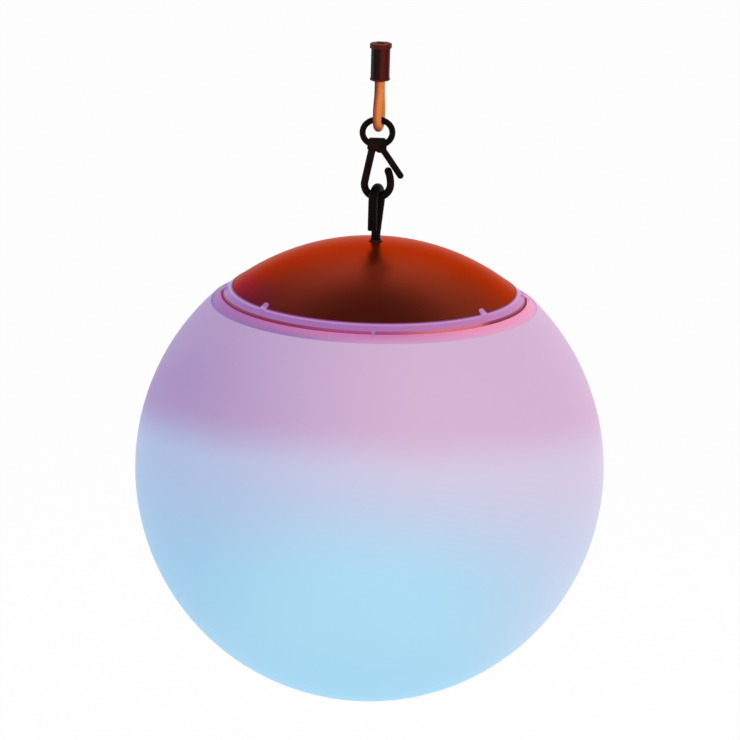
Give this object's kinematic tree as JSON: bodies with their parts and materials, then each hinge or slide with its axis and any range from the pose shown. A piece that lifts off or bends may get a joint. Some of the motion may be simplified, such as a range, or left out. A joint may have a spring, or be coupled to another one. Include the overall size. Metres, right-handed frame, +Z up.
{
  "type": "garden globe light",
  "caption": "Frosted hanging globe light whose globe twists out of a domed bronze cap; the cap holds batteries and lamps and hangs by an eye, a snap hook and a cable loop.",
  "frame": {"origin": "centre of the line socket's mouth at the top of the crimp sleeve, on the hanging axis", "axes": "+Z up along the hanging axis, -Y towards the front, +X to the right, where the hook's gate is"},
  "size_m": [0.28, 0.28, 0.395],
  "materials": {
    "frosted_globe": "frosted, lit from inside",
    "translucent_collar": "translucent satin, lit from inside",
    "bronze_cap": "glossy metallic bronze coat",
    "black_nylon": "black satin moulding",
    "black_steel": "black coated bar",
    "cable_coat": "smooth clear-orange coat",
    "dark_sleeve": "dark brown crimped metal",
    "gasket_rubber": "matt",
    "black_rubber": "matt",
    "white_plastic": "fine moulded",
    "grey_plastic": "fine moulded",
    "circuit_board": "solder mask",
    "chip_black": "moulded",
    "steel": "bright",
    "contact_metal": "nickel plated",
    "cell_wrap": "plain printed foil",
    "lamp_face": "clear resin",
    "lens_plastic": "opal",
    "wire_coat": "satin"
  },
  "bodies": {
    "hanger": {"crimp_sleeve": "dark_sleeve", "cable_loop": "cable_coat"},
    "snap_hook": {"hook_body": "black_nylon", "gate_pin": "black_steel"},
    "gate": {"hook_gate": "black_nylon"},
    "button": {"mode_button": "grey_plastic"},
    "globe": {"globe_shell": "frosted_globe", "neck_ring": "frosted_globe"},
    "cap": {"cap_eye": "black_steel", "eye_seal": "black_rubber", "eye_washer": "steel", "eye_nut": "steel", "dome_cap": "bronze_cap", "collar_ring": "translucent_collar", "neck_gasket": "gasket_rubber", "module_tray": "white_plastic", "tray_screws": "steel", "battery_cells": "cell_wrap", "contact_springs": "contact_metal", "contact_plates": "contact_metal", "battery_cover": "white_plastic", "cover_screws": "steel", "mode_switch": "chip_black", "led_board": "circuit_board", "led_emitters": "lamp_face", "led_lens": "lens_plastic", "lens_screws": "steel", "driver_board": "circuit_board", "driver_parts": "chip_black", "board_screws": "steel", "led_leads": "wire_coat", "battery_leads": "wire_coat"}
  },
  "joints": [
    {"name": "hook_swing", "type": "hinge", "parent": "hanger", "child": "snap_hook", "pos_m": [0, 0, -0.04915], "axis": [0, 1, 0], "range_deg": [-35, 35]},
    {"name": "gate_swing", "type": "hinge", "parent": "snap_hook", "child": "gate", "pos_m": [0.0013, 0, -0.06], "axis": [0, -1, 0], "range_deg": [0, 25], "stiffness_Nm_per_rad": 0.02},
    {"name": "globe_swing", "type": "hinge", "parent": "snap_hook", "child": "cap", "pos_m": [0, 0, -0.0902], "axis": [1, 0, 0], "range_deg": [-40, 40]},
    {"name": "globe_twist", "type": "hinge", "parent": "cap", "child": "globe", "pos_m": [0, 0, -0.25505], "axis": [0, 0, 1], "range_deg": [0, 45]},
    {"name": "button_press", "type": "slide", "parent": "cap", "child": "button", "axis": [0, 0, 1], "range_m": [0, 0.0012], "stiffness_N_per_m": 400}
  ]
}
